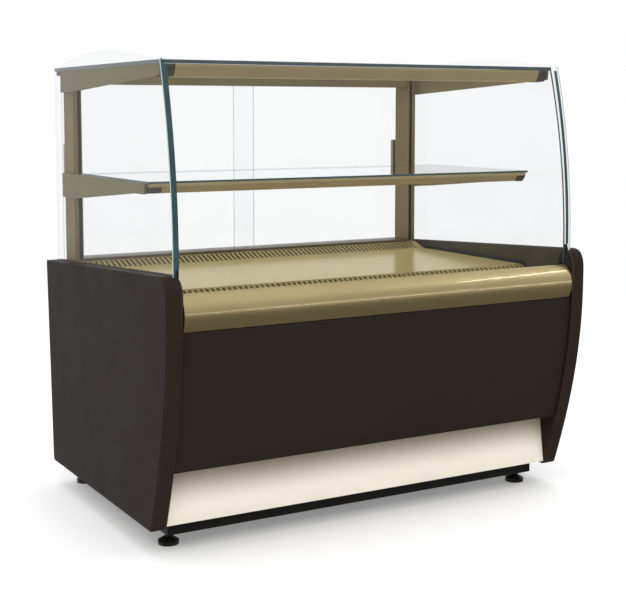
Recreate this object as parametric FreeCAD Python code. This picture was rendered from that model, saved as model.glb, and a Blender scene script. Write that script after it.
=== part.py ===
import FreeCAD, Part
import math
import os

os.makedirs("parts", exist_ok=True)
V = FreeCAD.Vector

# Refrigerated counter with a flat display deck, one glass shelf, a glass canopy, a curved
# front glass that tilts forward and two sliding glass doors at the back.
# Millimetres. Everything is drawn in a working frame with x across, y from front to back and
# z up from the lower edge of the side panels; save() moves it to the row frame, whose origin
# is on the floor, at the middle of the width and depth.

# ---- driving dimensions -------------------------------------------------------------------
WIDTH = 1300.0            # overall length of the counter, over the side panels
PANEL_T = 42.0            # side panel thickness
FLOOR_GAP = 66.0          # side panels' lower edge above the floor
DEPTH_MID = 455.0         # working-frame y of the middle of the depth
FRONT_BULGE = 546.5       # height at which the front edge stands furthest forward
PANEL_TOP_F = 652.0       # side panel top, at the front
PANEL_TOP_R = 604.0       # side panel top, at the back
PANEL_BACK_T = 907.5      # side panel rear edge at the top
PANEL_BACK_B = 875.0      # side panel rear edge at the bottom
DECK_Z = 590.0            # top of the display deck
DECK_Y0, DECK_Y1 = 221.4, 733.0
SLOT_PITCH_F = 16.15      # front grille slot pitch
SLOT_PITCH_R = 15.65      # rear grille slot pitch
SLOT_W = 6.0
SLOTS = 74
SHELF_Z = 872.0           # top of the glass shelf
SHELF_T = 6.0
SHELF_Y0, SHELF_Y1 = 204.0, 706.0
CANOPY_Z = 1175.0         # top of the canopy glass
CANOPY_T = 10.0
CANOPY_Y0, CANOPY_Y1 = 109.5, 917.0
SIDE_GLASS_T = 8.0
SIDE_GLASS_X = 612.0      # inner face of the side glass
EDGE_STRIP_X = 602.8      # inner face of the strip along its front edge
FRONT_GLASS_T = 6.0
FRONT_GLASS_R = 1800.0    # bend radius of the front glass, middle of its thickness
FRONT_GLASS_Y = 31.0      # middle of the glass in its straight lower part
FRONT_GLASS_HALF = 602.0
HINGE_Y, HINGE_Z = 39.5, 606.0   # front glass pivot axis
PIN_R = 4.0
PIN_CLEAR = 0.05
DOOR_T = 5.0
DOOR_IN_Y = 875.0         # front face of the inner (left) door
DOOR_OUT_Y = 884.0        # front face of the outer (right) door
FOOT_X, FOOT_YF, FOOT_YR = 566.0, 195.0, 825.0
STUD_R = 5.0              # M10 levelling stud
IN = WIDTH / 2 - PANEL_T  # inner face of a side panel, 608


# ---- helpers ------------------------------------------------------------------------------
def box(x0, x1, y0, y1, z0, z1):
    return Part.makeBox(x1 - x0, y1 - y0, z1 - z0, V(x0, y0, z0))


def poly(pts, x0, x1):
    w = Part.makePolygon([V(x0, y, z) for y, z in pts] + [V(x0, pts[0][0], pts[0][1])])
    return Part.Face(w).extrude(V(x1 - x0, 0, 0))


def spline(pts, x):
    c = Part.BSplineCurve()
    c.interpolate([V(x, y, z) for y, z in pts])
    return c.toShape()


def line(a, b, x):
    return Part.makeLine(V(x, a[0], a[1]), V(x, b[0], b[1]))


def arc(a, b, c, x):
    return Part.Arc(V(x, a[0], a[1]), V(x, b[0], b[1]), V(x, c[0], c[1])).toShape()


def face(edges):
    return Part.Face(Part.Wire(Part.__sortEdges__(edges)))


def sweep_x(edges, x0, x1):
    return face(edges).extrude(V(x1 - x0, 0, 0))


def cyl(r, h, x, y, z, d=(0, 0, 1)):
    return Part.makeCylinder(r, h, V(x, y, z), V(*d))


def hexprism(af, h, x, y, z):
    r = af / math.sqrt(3)
    pts = [V(x + r * math.cos(math.radians(60 * i)), y + r * math.sin(math.radians(60 * i)), z)
           for i in range(7)]
    return Part.Face(Part.makePolygon(pts)).extrude(V(0, 0, h))


def mirror(s):
    return s.mirror(V(0, 0, 0), V(1, 0, 0))


def both(s):
    return [s, mirror(s)]


def offset_pts(pts, d):
    """Points moved sideways by d, to the left of the direction of travel in (y, z)."""
    out = []
    for i, (y, z) in enumerate(pts):
        a = pts[max(i - 1, 0)]
        b = pts[min(i + 1, len(pts) - 1)]
        dy, dz = b[0] - a[0], b[1] - a[1]
        n = math.hypot(dy, dz)
        out.append((y - dz / n * d, z + dy / n * d))
    return out


def save(name, shapes):
    if not isinstance(shapes, (list, tuple)):
        shapes = [shapes]
    solids = []
    for s in shapes:
        solids += s.Solids
    solids = [s.copy() for s in solids]
    for s in solids:
        s.translate(V(0, -DEPTH_MID, FLOOR_GAP))
        if not s.isValid() or s.Volume <= 0:
            raise RuntimeError("bad solid in " + name)
    out = solids[0] if len(solids) == 1 else Part.makeCompound(solids)
    out.exportStep("parts/" + name + ".step")


def front_edge(z):
    t = (FRONT_BULGE - z) / 560.0
    return -4.0 * (1 - t) + 127.4 * t * t - 12.8 * t ** 4


def panel_top(y):
    return PANEL_TOP_F + (PANEL_TOP_R - PANEL_TOP_F) * (y - 60.0) / (PANEL_BACK_T - 60.0)


# ---- side panels --------------------------------------------------------------------------
zs = [0.0, 40.0, 90.0, 140.0, 200.0, 260.0, 320.0, 380.0, 440.0, 500.0, 546.5]
front_pts = [(front_edge(z), z) for z in zs] + [(-4.2, 575.0), (-4.2, 600.0), (-2.6, 616.0)]
round_pts = [(-2.6, 616.0), (3.2, 634.0), (13.0, 646.0), (27.0, 652.2), (45.0, 652.8)]
outline = [
    spline(front_pts, IN),
    spline(round_pts, IN),
    line((45.0, 652.8), (PANEL_BACK_T, PANEL_TOP_R), IN),
    line((PANEL_BACK_T, PANEL_TOP_R), (PANEL_BACK_B, 0.0), IN),
    line((PANEL_BACK_B, 0.0), (front_edge(0.0), 0.0), IN),
]
panel = sweep_x(outline, IN, WIDTH / 2)
low = [e for e in panel.Edges if e.BoundBox.ZMax < 0.01 and e.BoundBox.XLength > 40.0]
panel = panel.makeFillet(11.0, low)
rim = [e for e in panel.Edges if e.BoundBox.XMin > WIDTH / 2 - 0.01]
panel = panel.makeFillet(4.5, rim)
slot = poly([(20.0, panel_top(20) - 22), (20.0, 700.0), (896.0, 700.0), (896.0, panel_top(896) - 22)],
            SIDE_GLASS_X - 2.1, SIDE_GLASS_X + SIDE_GLASS_T + 2.1)
panel = panel.cut(slot)
save("side_panel_right", panel)
save("side_panel_left", mirror(panel))

# ---- side glasses -------------------------------------------------------------------------
GT = [(886.0, 1169.0), (762.0, 1190.5), (624.0, 1204.5), (490.0, 1210.0), (366.0, 1205.5),
      (246.0, 1194.0), (110.0, 1177.5)]
GF = [(24.0 + (z - 680.0) ** 2 / 3640.0, z) for z in (680.0, 760.0, 840.0, 920.0, 1000.0, 1080.0, 1176.0)]
gb_r = panel_top(890.0) - 20.0
gb_f = panel_top(24.0) - 20.0
g_edges = [
    line((24.0, gb_f), (24.0, 680.0), 0),
    spline(GF, 0),
    line(GF[-1], (110.0, 1177.5), 0),
    spline(GT[::-1], 0),
    line((886.0, 1169.0), (890.0, 1162.0), 0),
    line((890.0, 1162.0), (890.0, gb_r), 0),
    line((890.0, gb_r), (24.0, gb_f), 0),
]
sg = sweep_x(g_edges, 0, SIDE_GLASS_T)
sg.translate(V(SIDE_GLASS_X, 0, 0))
# strip bonded to the inside of the front edge; the front glass closes beside it
EB = [(30.0 + (z - 680.0) ** 2 / 3640.0, z) for z in (668.0, 760.0, 840.0, 920.0, 1000.0, 1080.0, 1164.0)]
front_zone = sweep_x([spline(EB, 0), line(EB[-1], (0.0, 1164.0), 0), line((0.0, 1164.0), (0.0, 668.0), 0),
                      line((0.0, 668.0), EB[0], 0)], -1.0, SIDE_GLASS_X - EDGE_STRIP_X)
strip = sweep_x(g_edges, 0, SIDE_GLASS_X - EDGE_STRIP_X).common(front_zone)
strip.translate(V(EDGE_STRIP_X, 0, 0))
sg = sg.fuse(strip).removeSplitter()
save("side_glass_right", sg)
save("side_glass_left", mirror(sg))

# ---- rubber: strips in the glass slots and along the sides of the deck -----------------------
rub = []
for xa, xb in ((SIDE_GLASS_X - 2.0, SIDE_GLASS_X - 0.05),
               (SIDE_GLASS_X + SIDE_GLASS_T + 0.05, SIDE_GLASS_X + SIDE_GLASS_T + 2.0)):
    rub += both(poly([(26.0, panel_top(26) - 18), (26.0, panel_top(26) + 2.5),
                      (888.0, panel_top(888) + 2.5), (888.0, panel_top(888) - 18)], xa, xb))
rub += both(poly([(66.0, 561.0), (160.0, 561.0), (211.0, 584.0), (733.0, 584.0), (733.0, 600.0), (222.0, 600.0),
                  (157.0, 571.0), (66.0, 571.0)], 600.6, 607.9))
save("rubber_seals", rub)

# ---- front panel, kick plate, bumper ----------------------------------------------------------
zf = [155.0, 200.0, 250.0, 300.0, 350.0, 400.0, 450.0, 490.0, 515.6]
fo = [(front_edge(z) + 9.0, z) for z in zf]
fi = offset_pts(fo, -1.5)
fi[0] = (fo[0][0] + 1.6, 156.5)
fi[-1] = (fo[-1][0] + 1.5, 514.1)
FP = 606.3
front = sweep_x([
    spline(fo, -FP), line(fo[-1], (40.0, 515.6), -FP), line((40.0, 515.6), (40.0, 514.1), -FP),
    line((40.0, 514.1), fi[-1], -FP), spline(fi, -FP), line(fi[0], (128.0, 156.5), -FP),
    line((128.0, 156.5), (128.0, 155.0), -FP), line((128.0, 155.0), fo[0], -FP)], -FP, FP)
save("front_panel", front)

kick = poly([(110.0, 9.0), (129.8, 154.0), (144.0, 154.0), (144.0, 152.5), (131.1, 152.5),
             (111.7, 10.5), (128.0, 10.5), (128.0, 9.0)], -606.3, 606.3)
save("kick_plate", kick)

bo = [(22.5, 610.6), (12.4, 603.4), (3.0, 590.0), (-3.2, 577.0), (-6.6, 563.0), (-6.4, 549.0),
      (-3.6, 536.0), (0.6, 525.5), (6.0, 517.0)]
bi = offset_pts(bo, 3.0)
bi[0] = (22.5, 607.0)
bi[-1] = (8.2, 519.6)
BH = 602.6
shell = sweep_x([
    spline(bo, -BH), line(bo[-1], (24.0, 516.4), -BH), line((24.0, 516.4), (24.0, 519.6), -BH),
    line((24.0, 519.6), bi[-1], -BH), spline(bi, -BH), line(bi[0], bo[0], -BH)], -BH, BH)
cap = sweep_x([spline(bo, 0), line(bo[-1], (24.0, 516.4), 0), line((24.0, 516.4), bo[0], 0)], 0, 3.0)
capr = cap.copy()
capr.translate(V(BH - 3.0, 0, 0))
capl = cap.copy()
capl.translate(V(-BH, 0, 0))
bumper = shell.fuse([capr, capl]).removeSplitter()
save("bumper", bumper)

# ---- display deck and the two slotted air grilles -----------------------------------------------
deck = poly([(DECK_Y0, DECK_Z), (DECK_Y1, DECK_Z), (DECK_Y1, 576.0), (DECK_Y1 - 2, 576.0), (DECK_Y1 - 2, 588.0),
             (DECK_Y0 + 2, 588.0), (DECK_Y0 + 2, 576.0), (DECK_Y0, 576.0)], -600.3, 600.3)
save("display_deck", deck)


def grille(y0, z0, y1, z1, pitch, slot_len, extra, lip=None):
    """A sloped 2 mm plate from (y0, z0) to (y1, z1) with a row of slots along the slope. extra continues it
    past (y1, z1); lip is the y of the front edge of a level run before (y0, z0)."""
    ln = math.hypot(y1 - y0, z1 - z0)
    uy, uz = (y1 - y0) / ln, (z1 - z0) / ln
    ny, nz = -uz, uy
    pts = [(y0, z0), (y1, z1)] + extra + [(y1 - ny * 2, z1 - nz * 2)]
    if lip is None:
        pts += [(y0 - ny * 2, z0 - nz * 2)]
    else:
        pts += [(y0 + 2 * math.tan(math.atan2(uz, uy) / 2), z0 - 2), (lip, z0 - 2), (lip, z0)]
    plate = poly(pts, -600.3, 600.3)
    my, mz = (y0 + y1) / 2, (z0 + z1) / 2
    h = slot_len / 2
    cuts = []
    for i in range(SLOTS):
        x = (i - (SLOTS - 1) / 2) * pitch
        c = [(my - uy * h + ny * 3, mz - uz * h + nz * 3), (my + uy * h + ny * 3, mz + uz * h + nz * 3),
             (my + uy * h - ny * 5, mz + uz * h - nz * 5), (my - uy * h - ny * 5, mz - uz * h - nz * 5)]
        cuts.append(poly(c, x - SLOT_W / 2, x + SLOT_W / 2))
    return plate.cut(cuts)


# front: falls from the deck towards the glass; rear: rises from the deck to the rear ledge
save("front_vent_grille", grille(159.4, 563.0, 220.0, DECK_Z, SLOT_PITCH_F, 54.0, [], 62.0))
save("rear_vent_grille", grille(733.5, DECK_Z, 787.0, 608.0, SLOT_PITCH_R, 47.0,
                                [(789.6, 608.0), (789.6, 598.0), (787.8, 598.0), (787.8, 606.2)]))

# ---- insulated tub under the deck -----------------------------------------------------------------
foam = [
    box(-606.0, 606.0, 46.0, 790.0, 350.0, 390.0),
    box(-606.0, 606.0, 46.0, 66.0, 390.0, 556.0),
    box(-606.0, 606.0, 750.0, 790.0, 390.0, 586.0),
    box(-606.0, -570.0, 66.0, 750.0, 390.0, 560.0),
    box(570.0, 606.0, 66.0, 750.0, 390.0, 560.0),
]
save("tub_insulation", foam)
lin = box(-570.0, 570.0, 66.0, 750.0, 390.0, 556.0).cut(
    box(-568.8, 568.8, 67.2, 748.8, 391.2, 560.0))
save("tub_liner", lin)

# ---- evaporator -----------------------------------------------------------------------------------
fins = [box(x - 0.4, x + 0.4, 300.0, 420.0, 420.0, 550.0) for x in range(-380, 381, 20)]
tubes = []
for k, (y, z) in enumerate([(320, 440), (320, 485), (320, 530), (360, 462), (360, 507),
                            (400, 440), (400, 485), (400, 530)]):
    tubes.append(cyl(6.0, 820.0, -410.0, y, z, (1, 0, 0)))
coil = fins[0].fuse(fins[1:] + tubes)
coil = coil.fuse([box(-414.0, -410.0, 300.0, 420.0, 391.2, 550.0),
                  box(410.0, 414.0, 300.0, 420.0, 391.2, 550.0)])
save("evaporator_coil", coil)

EFY = 520.0
efh = box(-568.0, 568.0, EFY, EFY + 2.0, 391.2, 586.0).cut(cyl(74.0, 4.0, 0, EFY - 1, 488.0, (0, 1, 0)))
ring = cyl(76.0, 22.0, 0, EFY + 2, 488.0, (0, 1, 0)).cut(cyl(74.0, 24.0, 0, EFY + 1, 488.0, (0, 1, 0)))
emot = cyl(22.0, 34.0, 0, EFY + 26, 488.0, (0, 1, 0)).fuse(
    [cyl(3.0, 22.0, 0, EFY + 6, 488.0, (0, 1, 0)),
     box(-4.0, 4.0, EFY + 30, EFY + 34, 391.2, 470.0),
     box(-76.0, -20.0, EFY + 26, EFY + 30, 484.0, 492.0), box(20.0, 76.0, EFY + 26, EFY + 30, 484.0, 492.0),
     box(-76.0, -74.0, EFY + 22, EFY + 27, 484.0, 492.0), box(74.0, 76.0, EFY + 22, EFY + 27, 484.0, 492.0)])
save("evaporator_fan_housing", [efh.fuse(ring).fuse(emot)])


def fan(x, y, z, r_hub, r_tip, depth, n, bore, d):
    """Axial rotor with a bored hub at (x, y, z), spinning about y."""
    hub = cyl(r_hub, depth, x, y, z, (0, 1, 0)).cut(cyl(bore, depth + 2, x, y - 1, z, (0, 1, 0)))
    blades = []
    for i in range(n):
        a = Part.makePolygon([V(0, 0, r_hub - 2), V(r_tip * 0.42, 0, r_tip * 0.90),
                              V(r_tip * 0.05, 0, r_tip), V(-r_tip * 0.30, 0, r_tip * 0.80), V(0, 0, r_hub - 2)])
        b = Part.Face(a).extrude(V(0, 2.2, 0))
        b.rotate(V(0, 0, 0), V(0, 0, 1), d)
        b.rotate(V(0, 0, 0), V(0, 1, 0), 360.0 / n * i)
        b.translate(V(x, y + depth / 2 - 1.1, z))
        blades.append(b)
    limit = cyl(r_tip, depth + 24, x, y - 12, z, (0, 1, 0)).cut(cyl(r_hub - 1, depth + 26, x, y - 13, z, (0, 1, 0)))
    return hub.fuse([b.common(limit) for b in blades])


save("evaporator_fan", fan(0, EFY + 8, 488.0, 16.0, 70.0, 14.0, 5, 3.05, 14.0))

# ---- base frame and levelling feet ------------------------------------------------------------------


def tube(x0, x1, y0, y1, z0, z1, along):
    o = box(x0, x1, y0, y1, z0, z1)
    w = 2.5
    if along == "x":
        return o.cut(box(x0 - 1, x1 + 1, y0 + w, y1 - w, z0 + w, z1 - w))
    return o.cut(box(x0 + w, x1 - w, y0 - 1, y1 + 1, z0 + w, z1 - w))


side_beam = box(544.0, 588.0, 150.0, 860.0, -30.0, 10.0).cut(box(546.5, 585.5, 152.5, 857.5, -27.5, 7.5))
for y in (FOOT_YF, FOOT_YR):
    side_beam = side_beam.fuse(hexprism(24.0, 8.0, FOOT_X, y, -38.0))
for y in (FOOT_YF, FOOT_YR):
    side_beam = side_beam.cut(cyl(STUD_R + PIN_CLEAR, 20.0, FOOT_X, y, -45.0))
frame = both(side_beam)
frame += [tube(-544.0, 544.0, 150.0, 190.0, -30.0, 10.0, "x"),
          tube(-544.0, 544.0, 820.0, 860.0, -30.0, 10.0, "x"),
          tube(-20.0, 20.0, 190.0, 820.0, -30.0, 10.0, "y")]
for y0 in (250.0, 690.0):
    a = box(560.0, 607.9, y0, y0 + 60.0, 10.0, 13.0).fuse(box(604.9, 607.9, y0, y0 + 60.0, 13.0, 60.0))
    a = a.removeSplitter()
    for yy in (y0 + 15.0, y0 + 45.0):
        a = a.cut(cyl(3.3, 6.0, 603.0, yy, 40.0, (1, 0, 0)))
    frame += both(a)
save("base_frame", frame)


def foot(x, y):
    pad = cyl(27.5, 10.0, x, y, -66.0)
    cone = Part.makeCone(27.5, 13.0, 9.0, V(x, y, -56.0))
    return pad.fuse([cone, hexprism(17.0, 7.0, x, y, -47.0), cyl(STUD_R, 44.0, x, y, -41.0)]).removeSplitter()


save("levelling_foot_front_left", foot(-FOOT_X, FOOT_YF))
save("levelling_foot_front_right", foot(FOOT_X, FOOT_YF))
save("levelling_foot_rear_left", foot(-FOOT_X, FOOT_YR))
save("levelling_foot_rear_right", foot(FOOT_X, FOOT_YR))

# ---- machine compartment -----------------------------------------------------------------------------
tray = box(-540.0, 540.0, 152.0, 858.0, 10.0, 11.5)
save("unit_tray", tray)

CX, CY = -330.0, 560.0
shell_c = cyl(74.0, 120.0, CX, CY, 40.0)
dome_lo = Part.makeSphere(74.0, V(CX, CY, 52.0), V(0, 0, 1), -90, 0, 360).common(cyl(80.0, 60.0, CX, CY, 24.0))
dome_hi = Part.makeSphere(90.0, V(CX, CY, 108.7), V(0, 0, 1), 0, 90, 360).common(cyl(74.0, 120.0, CX, CY, 160.0))
comp = shell_c.fuse([dome_lo, dome_hi])
comp = comp.fuse([box(CX - 95.0, CX + 95.0, CY - 70.0, CY - 40.0, 26.0, 29.0),
                  box(CX - 95.0, CX + 95.0, CY + 40.0, CY + 70.0, 26.0, 29.0),
                  cyl(78.0, 6.0, CX, CY, 110.0)])
comp = comp.fuse([box(CX + 60.0, CX + 92.0, CY - 28.0, CY + 28.0, 70.0, 130.0)]).removeSplitter()
holes = [cyl(5.0, 10.0, CX + sx * 84.0, CY + sy * 55.0, 22.0) for sx in (-1, 1) for sy in (-1, 1)]
comp = comp.cut(holes)
save("compressor", comp)
grom = []
for sx in (-1, 1):
    for sy in (-1, 1):
        x, y = CX + sx * 84.0, CY + sy * 55.0
        grom.append(cyl(10.0, 14.5, x, y, 11.5).fuse([cyl(4.9, 6.0, x, y, 25.0), cyl(8.0, 4.0, x, y, 29.0)]))
save("compressor_mounts", grom)

CDX, CDZ = 250.0, 190.0
cfins = [box(x - 0.4, x + 0.4, 640.0, 690.0, 30.0, 330.0) for x in range(60, 441, 19)]
ctub = []
for row, y in enumerate((652.0, 678.0)):
    for k in range(7):
        ctub.append(cyl(4.8, 400.0, 50.0, y, 55.0 + k * 42.0 - row * 8.0, (1, 0, 0)))
cond = cfins[0].fuse(cfins[1:] + ctub + [box(46.0, 50.0, 640.0, 690.0, 11.5, 334.0),
                                         box(450.0, 454.0, 640.0, 690.0, 11.5, 334.0)])
save("condenser_coil", cond)

FY = 694.0
shroud = box(46.0, 454.0, FY, FY + 2.0, 11.5, 334.0).cut(cyl(131.0, 6.0, CDX, FY - 2, CDZ, (0, 1, 0)))
col = cyl(133.0, 34.0, CDX, FY + 2, CDZ, (0, 1, 0)).cut(cyl(131.0, 38.0, CDX, FY, CDZ, (0, 1, 0)))
arms = [box(CDX - 133.0, CDX - 30.0, FY + 38, FY + 42, CDZ - 5, CDZ + 5),
        box(CDX + 30.0, CDX + 133.0, FY + 38, FY + 42, CDZ - 5, CDZ + 5),
        box(CDX - 5, CDX + 5, FY + 38, FY + 42, CDZ + 30, CDZ + 133.0)]
hubring = cyl(36.0, 4.0, CDX, FY + 38, CDZ, (0, 1, 0)).cut(cyl(8.0, 8.0, CDX, FY + 36, CDZ, (0, 1, 0)))
posts3 = [box(CDX - 133.0, CDX - 127.0, FY + 36, FY + 38, CDZ - 5, CDZ + 5),
          box(CDX + 127.0, CDX + 133.0, FY + 36, FY + 38, CDZ - 5, CDZ + 5),
          box(CDX - 5, CDX + 5, FY + 36, FY + 38, CDZ + 127.0, CDZ + 133.0)]
shroud = shroud.fuse([col] + arms + [hubring] + posts3).removeSplitter()
save("condenser_fan_shroud", shroud)
motor = cyl(34.0, 46.0, CDX, FY + 42, CDZ, (0, 1, 0)).fuse(
    [cyl(5.0, 34.0, CDX, FY + 10, CDZ, (0, 1, 0)), cyl(7.9, 4.0, CDX, FY + 38, CDZ, (0, 1, 0))])
save("condenser_fan_motor", motor)
save("condenser_fan", fan(CDX, FY + 14, CDZ, 24.0, 126.0, 18.0, 5, 5.05, 12.5))

# copper lines: straight runs joined by bends, with the filter drier in the liquid line


def pipe(pts, r, bend):
    edges = []
    p = [V(*q) for q in pts]
    start = p[0]
    for i in range(1, len(p) - 1):
        a = (p[i - 1] - p[i]).normalize()
        b = (p[i + 1] - p[i]).normalize()
        ang = a.getAngle(b)
        t = bend / math.tan(ang / 2)
        s, e = p[i] + a * t, p[i] + b * t
        mid = p[i] + (a + b).normalize() * (bend / math.sin(ang / 2) - bend)
        edges.append(Part.makeLine(start, s))
        edges.append(Part.Arc(s, mid, e).toShape())
        start = e
    edges.append(Part.makeLine(start, p[-1]))
    path = Part.Wire(edges)
    prof = Part.Wire([Part.makeCircle(r, p[0], (p[1] - p[0]).normalize())])
    return path.makePipeShell([prof], True, False)


lines = [
    pipe([(CX + 20, CY, 199.2), (CX + 20, CY, 250), (CX + 20, 665, 250), (45.9, 665, 250)], 4.0, 18.0),
    pipe([(45.9, 652, 55), (-40, 652, 55), (-40, 652, 140)], 3.5, 14.0),
    cyl(9.5, 90.0, -40.0, 652.0, 140.0).fuse([Part.makeCone(9.5, 4.0, 12.0, V(-40, 652, 230)),
                                               Part.makeCone(4.0, 9.5, 12.0, V(-40, 652, 128))]),
    pipe([(-40, 652, 242), (-40, 652, 300), (-40, 730, 300), (-40, 730, 349.9)], 3.0, 14.0),
]
lines[2] = lines[2].cut(lines[1])
save("refrigerant_lines", lines)

pan = box(-250.0, 20.0, 220.0, 470.0, 11.5, 60.0).cut(box(-247.0, 17.0, 223.0, 467.0, 14.5, 62.0))
save("condensate_pan", pan)
ebox = box(-540.0, -400.0, 700.0, 820.0, 120.0, 300.0).fuse(
    [box(-544.0, -396.0, 696.0, 700.0, 116.0, 304.0)])
ebox = ebox.fuse(box(-544.0, -540.0, 700.0, 720.0, 11.5, 300.0)).removeSplitter()
save("electrical_box", ebox)

# ---- rear: service panel with louvre slots, ledge, controls --------------------------------------------
RPY = 862.0
rp = box(-606.0, 606.0, RPY, RPY + 1.5, 14.0, 572.0)
rp = rp.fuse([box(-606.0, 606.0, RPY - 14.0, RPY, 14.0, 15.5), box(-606.0, 606.0, RPY - 14.0, RPY, 570.5, 572.0)])
lv = []
for cx in (-90.0, 250.0):
    for k in range(11):
        z = 90.0 + k * 22.0
        lv.append(box(cx - 130.0, cx + 130.0, RPY - 2, RPY + 4, z, z + 8.0))
rp = rp.cut(lv)
rp = rp.cut([box(-548.0, -352.0, RPY - 2, RPY + 4, 488.0, 548.0), cyl(11.1, 8.0, -500.0, RPY - 2, 70.0, (0, 1, 0))])
louv = []
for cx in (-90.0, 250.0):
    for k in range(11):
        z = 90.0 + k * 22.0
        louv.append(poly([(RPY + 0.8, z + 9.6), (RPY + 8.5, z + 3.2), (RPY + 8.5, z + 1.8), (RPY + 0.8, z + 8.1)],
                         cx - 130.0, cx + 130.0))
rp = rp.fuse(louv)
screw_pos = [(sx * 590.0, z) for sx in (-1, 1) for z in (40.0, 290.0, 545.0)] + [(0.0, 40.0), (0.0, 545.0)]
rp = rp.cut([cyl(2.6, 6.0, x, RPY - 2, z, (0, 1, 0)) for x, z in screw_pos])
save("rear_panel", rp)

gland = cyl(11.0, 14.0, -500.0, RPY - 10.0, 70.0, (0, 1, 0)).fuse(
    [cyl(17.0, 5.0, -500.0, RPY + 1.5, 70.0, (0, 1, 0)), cyl(13.0, 18.0, -500.0, RPY + 6.5, 70.0, (0, 1, 0)),
     cyl(17.0, 5.0, -500.0, RPY - 5.0, 70.0, (0, 1, 0))])
gland = gland.cut(cyl(4.6, 50.0, -500.0, RPY - 15.0, 70.0, (0, 1, 0)))
save("power_inlet", gland)

ledge = box(-606.0, 606.0, 791.0, 903.0, 594.0, 596.0).fuse(
    [box(-606.0, 606.0, 901.0, 903.0, 574.0, 594.0), box(-606.0, 606.0, 864.0, 901.0, 574.0, 576.0)])
save("rear_ledge", ledge.removeSplitter())

# control fascia: black housing in the cut-out, three keys, a window and a mains rocker
FX0, FX1, FZ0, FZ1 = -556.0, -344.0, 480.0, 556.0
fas = box(FX0, FX1, RPY + 1.5, RPY + 7.0, FZ0, FZ1).fuse(box(-547.5, -352.5, RPY - 26.0, RPY + 1.5, 488.5, 547.5))
vert = [e for e in fas.Edges if abs(e.BoundBox.YLength - 5.5) < 0.1 and e.BoundBox.XLength < 0.1]
fas = fas.makeFillet(5.0, vert)
fas = fas.cut(box(-545.5, -354.5, RPY - 27.0, RPY + 2.5, 490.5, 545.5))
win = (-530.0, -470.0, 506.0, 534.0)
fas = fas.cut(box(win[0], win[1], RPY + 4.0, RPY + 9.0, win[2], win[3]))
KEYS = [(-450.0, "button_up"), (-432.0, "button_down"), (-414.0, "button_set")]
for kx, nm in KEYS:
    fas = fas.cut(cyl(5.2, 20.0, kx, RPY - 4.0, 520.0, (0, 1, 0)))
RKX, RKZ = -376.0, 520.0
fas = fas.cut(box(RKX - 8.0, RKX + 8.0, RPY - 4.0, RPY + 9.0, RKZ - 12.5, RKZ + 12.5))
fas = fas.fuse([box(RKX - 10.0, RKX - 8.0, RPY - 10.0, RPY + 3.0, RKZ - 4.0, RKZ + 4.0),
                box(RKX + 8.0, RKX + 10.0, RPY - 10.0, RPY + 3.0, RKZ - 4.0, RKZ + 4.0)])
RKY = RPY - 4.0
fas = fas.cut(cyl(1.55, 30.0, RKX - 15.0, RKY, RKZ, (1, 0, 0)))
fas = fas.removeSplitter()
save("control_fascia", fas)
save("control_display", box(win[0] + 0.1, win[1] - 0.1, RPY + 4.0, RPY + 6.6, win[2] + 0.1, win[3] - 0.1))
for kx, nm in KEYS:
    b = cyl(5.1, 9.0, kx, RPY + 0.6, 520.0, (0, 1, 0))
    top = [e for e in b.Edges if e.BoundBox.YMin > RPY + 9.5]
    b = b.makeFillet(0.8, top)
    b = b.fuse(cyl(7.0, 1.4, kx, RPY + 0.2, 520.0, (0, 1, 0))).removeSplitter()
    save(nm, b)
# rocker: barrel face with a pin each side, in its nearer-to-top position at rest
rk = face([line((RKY + 3.0, RKZ - 11.0), (RKY - 4.0, RKZ - 3.0), 0), line((RKY - 4.0, RKZ - 3.0), (RKY - 4.0, RKZ + 3.0), 0),
           line((RKY - 4.0, RKZ + 3.0), (RKY + 3.0, RKZ + 11.0), 0), line((RKY + 3.0, RKZ + 11.0), (RKY + 13.0, RKZ + 11.0), 0),
           arc((RKY + 13.0, RKZ + 11.0), (RKY + 10.6, RKZ), (RKY + 13.0, RKZ - 11.0), 0),
           line((RKY + 13.0, RKZ - 11.0), (RKY + 3.0, RKZ - 11.0), 0)]).extrude(V(15.0, 0, 0))
rk.translate(V(RKX - 7.5, 0, 0))
rk = rk.fuse(cyl(1.5, 19.0, RKX - 9.5, RKY, RKZ, (1, 0, 0)))
rk.rotate(V(RKX, RKY, RKZ), V(1, 0, 0), -6.0)
save("power_rocker", rk.removeSplitter())

# ---- rear uprights, top beam, brackets, canopy ------------------------------------------------------------
post = box(573.0, 599.0, 791.0, 871.0, 596.0, 1165.0).cut(box(576.0, 586.0, 790.0, 800.0, 612.0, 1166.0))
post = post.cut(box(577.0, 596.0, 806.0, 866.0, 590.0, 1170.0))
save("rear_post_right", post)
save("rear_post_left", mirror(post))
beam = box(-573.0, 573.0, 800.0, 866.0, 1127.0, 1165.0).cut(box(-574.0, 574.0, 803.0, 863.0, 1130.0, 1162.0))
save("rear_top_beam", beam)
cb = poly([(871.0, 1165.0), (118.0, 1165.0), (121.0, 1138.5), (791.0, 1103.0), (871.0, 1103.0)], 599.0, 608.5)
save("canopy_brackets", both(cb))
canopy = box(-610.0, 610.0, CANOPY_Y0, CANOPY_Y1, CANOPY_Z - CANOPY_T, CANOPY_Z)
save("canopy_glass", canopy.makeFillet(1.0, [e for e in canopy.Edges if e.BoundBox.XLength > 500]))


def profile(y, zt, k):
    """Section of a front light profile: sloping front lip, flat underside, open channel for the LED."""
    return [(y, zt), (y, zt - 7.0), (y + 5.0, zt - 17.0 * k), (y + 14.0, zt - 27.0 * k),
            (y + 44.0, zt - 29.0 * k), (y + 48.0, zt)]


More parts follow.
